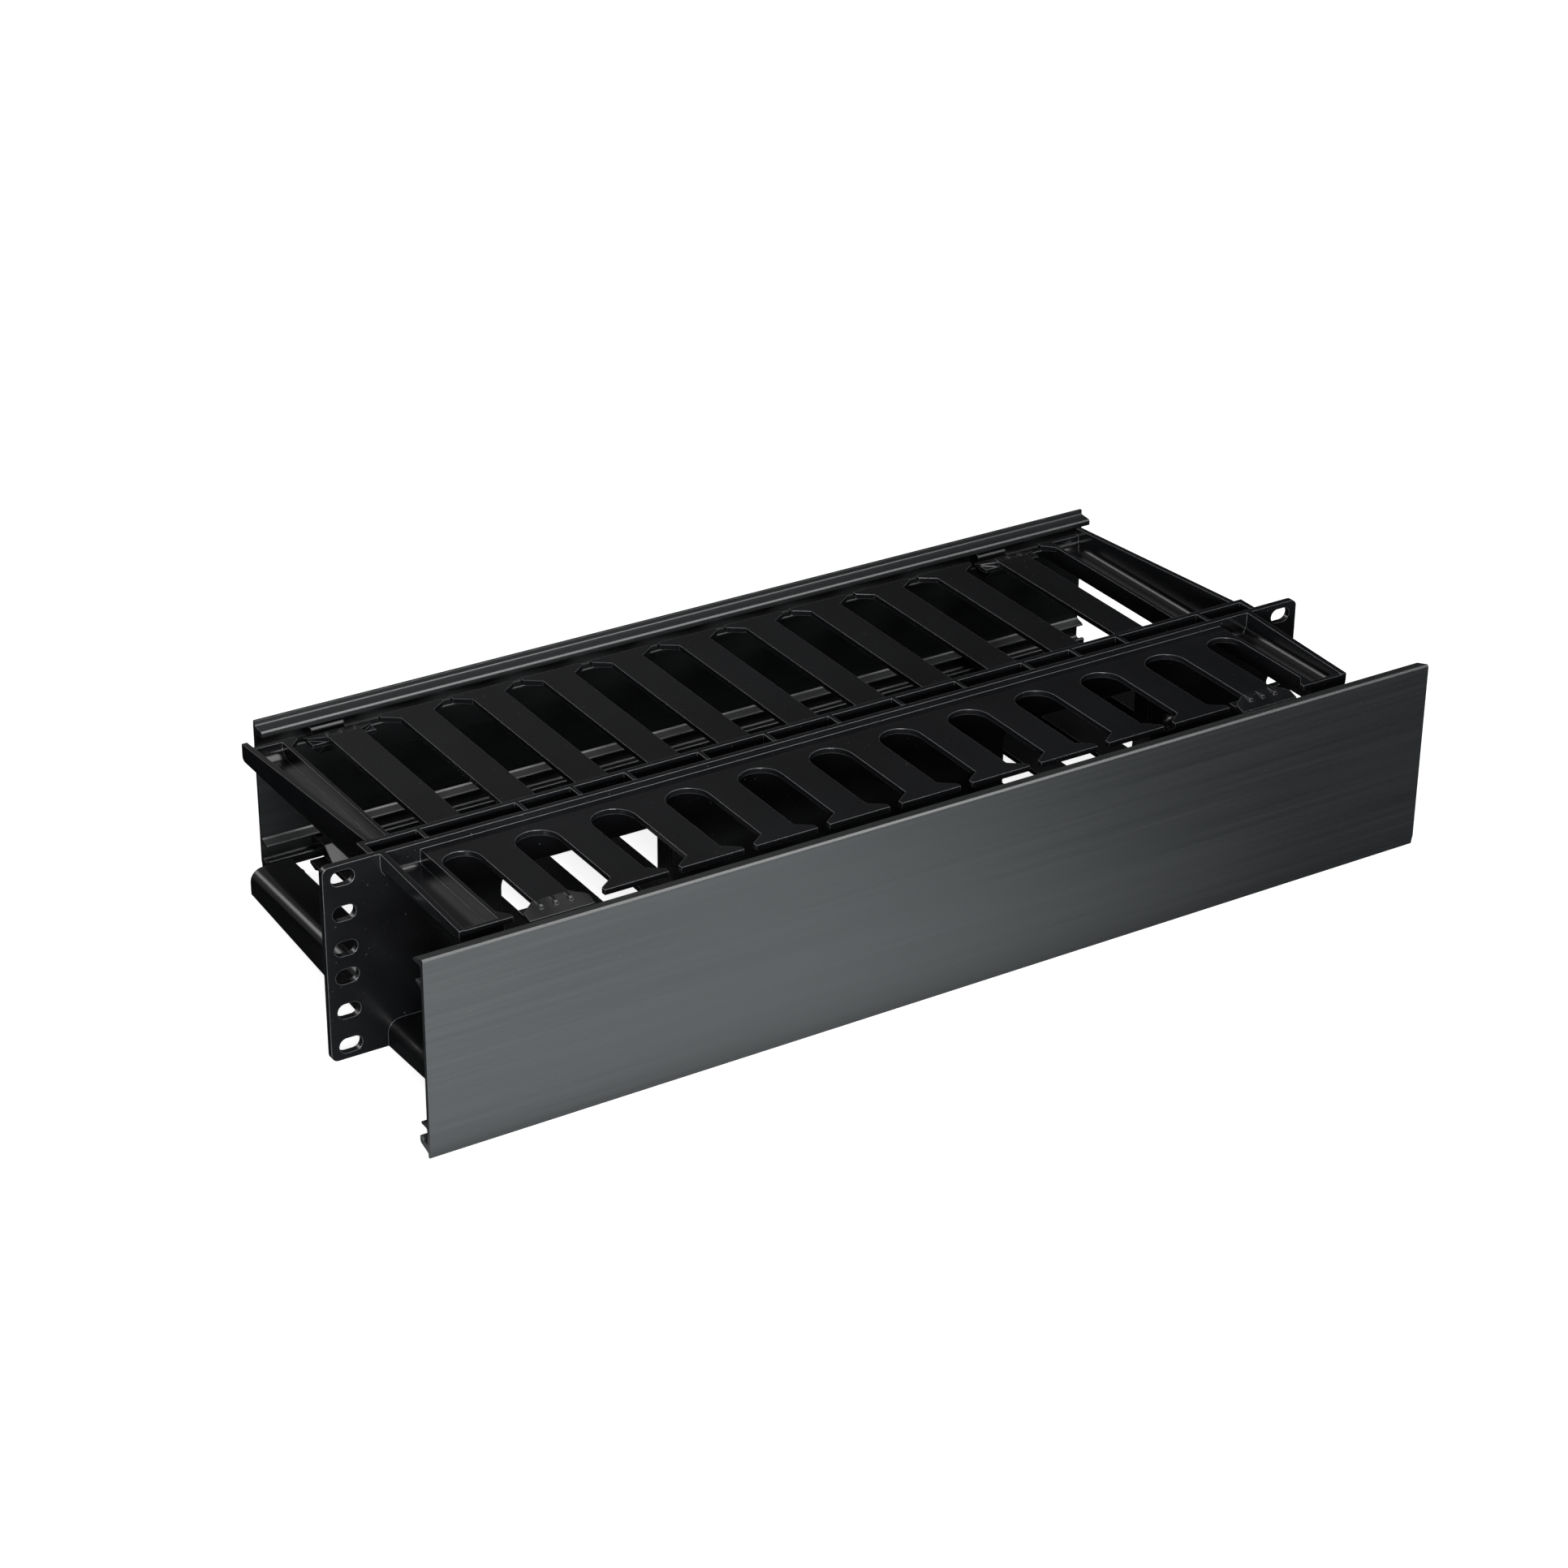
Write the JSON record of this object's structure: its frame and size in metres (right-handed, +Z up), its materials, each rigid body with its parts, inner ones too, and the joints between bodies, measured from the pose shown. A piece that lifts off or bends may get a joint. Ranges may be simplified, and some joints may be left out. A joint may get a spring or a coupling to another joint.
{
  "type": "horizontal cable manager",
  "caption": "Horizontal rack cable manager with a slotted mounting plate, finger ducts at the front and rear, and a hinged cover on each.",
  "frame": {"origin": "middle of the rack slots, on the back face of the ears, which meets the rack rail", "axes": "+X along the rack width to the right seen from the front, +Y to the rear of the rack, +Z up"},
  "size_m": [0.4893, 0.2295, 0.0882],
  "materials": {
    "base_plastic": "satin",
    "cover_plastic": "satin",
    "screw_steel": "satin"
  },
  "bodies": {
    "base": {"front_base": "base_plastic", "rear_base": "base_plastic", "joining_screws": "screw_steel"},
    "front_cover": {"front_cover": "cover_plastic"},
    "rear_cover": {"rear_cover": "cover_plastic"}
  },
  "joints": [
    {"name": "front_cover_hinge", "type": "hinge", "parent": "base", "child": "front_cover", "pos_m": [0, -0.0799, 0.03695], "axis": [-1, 0, 0], "range_deg": [0, 90]},
    {"name": "rear_cover_hinge", "type": "hinge", "parent": "base", "child": "rear_cover", "pos_m": [0, 0.138, 0.0267], "axis": [1, 0, 0], "range_deg": [0, 90]}
  ]
}
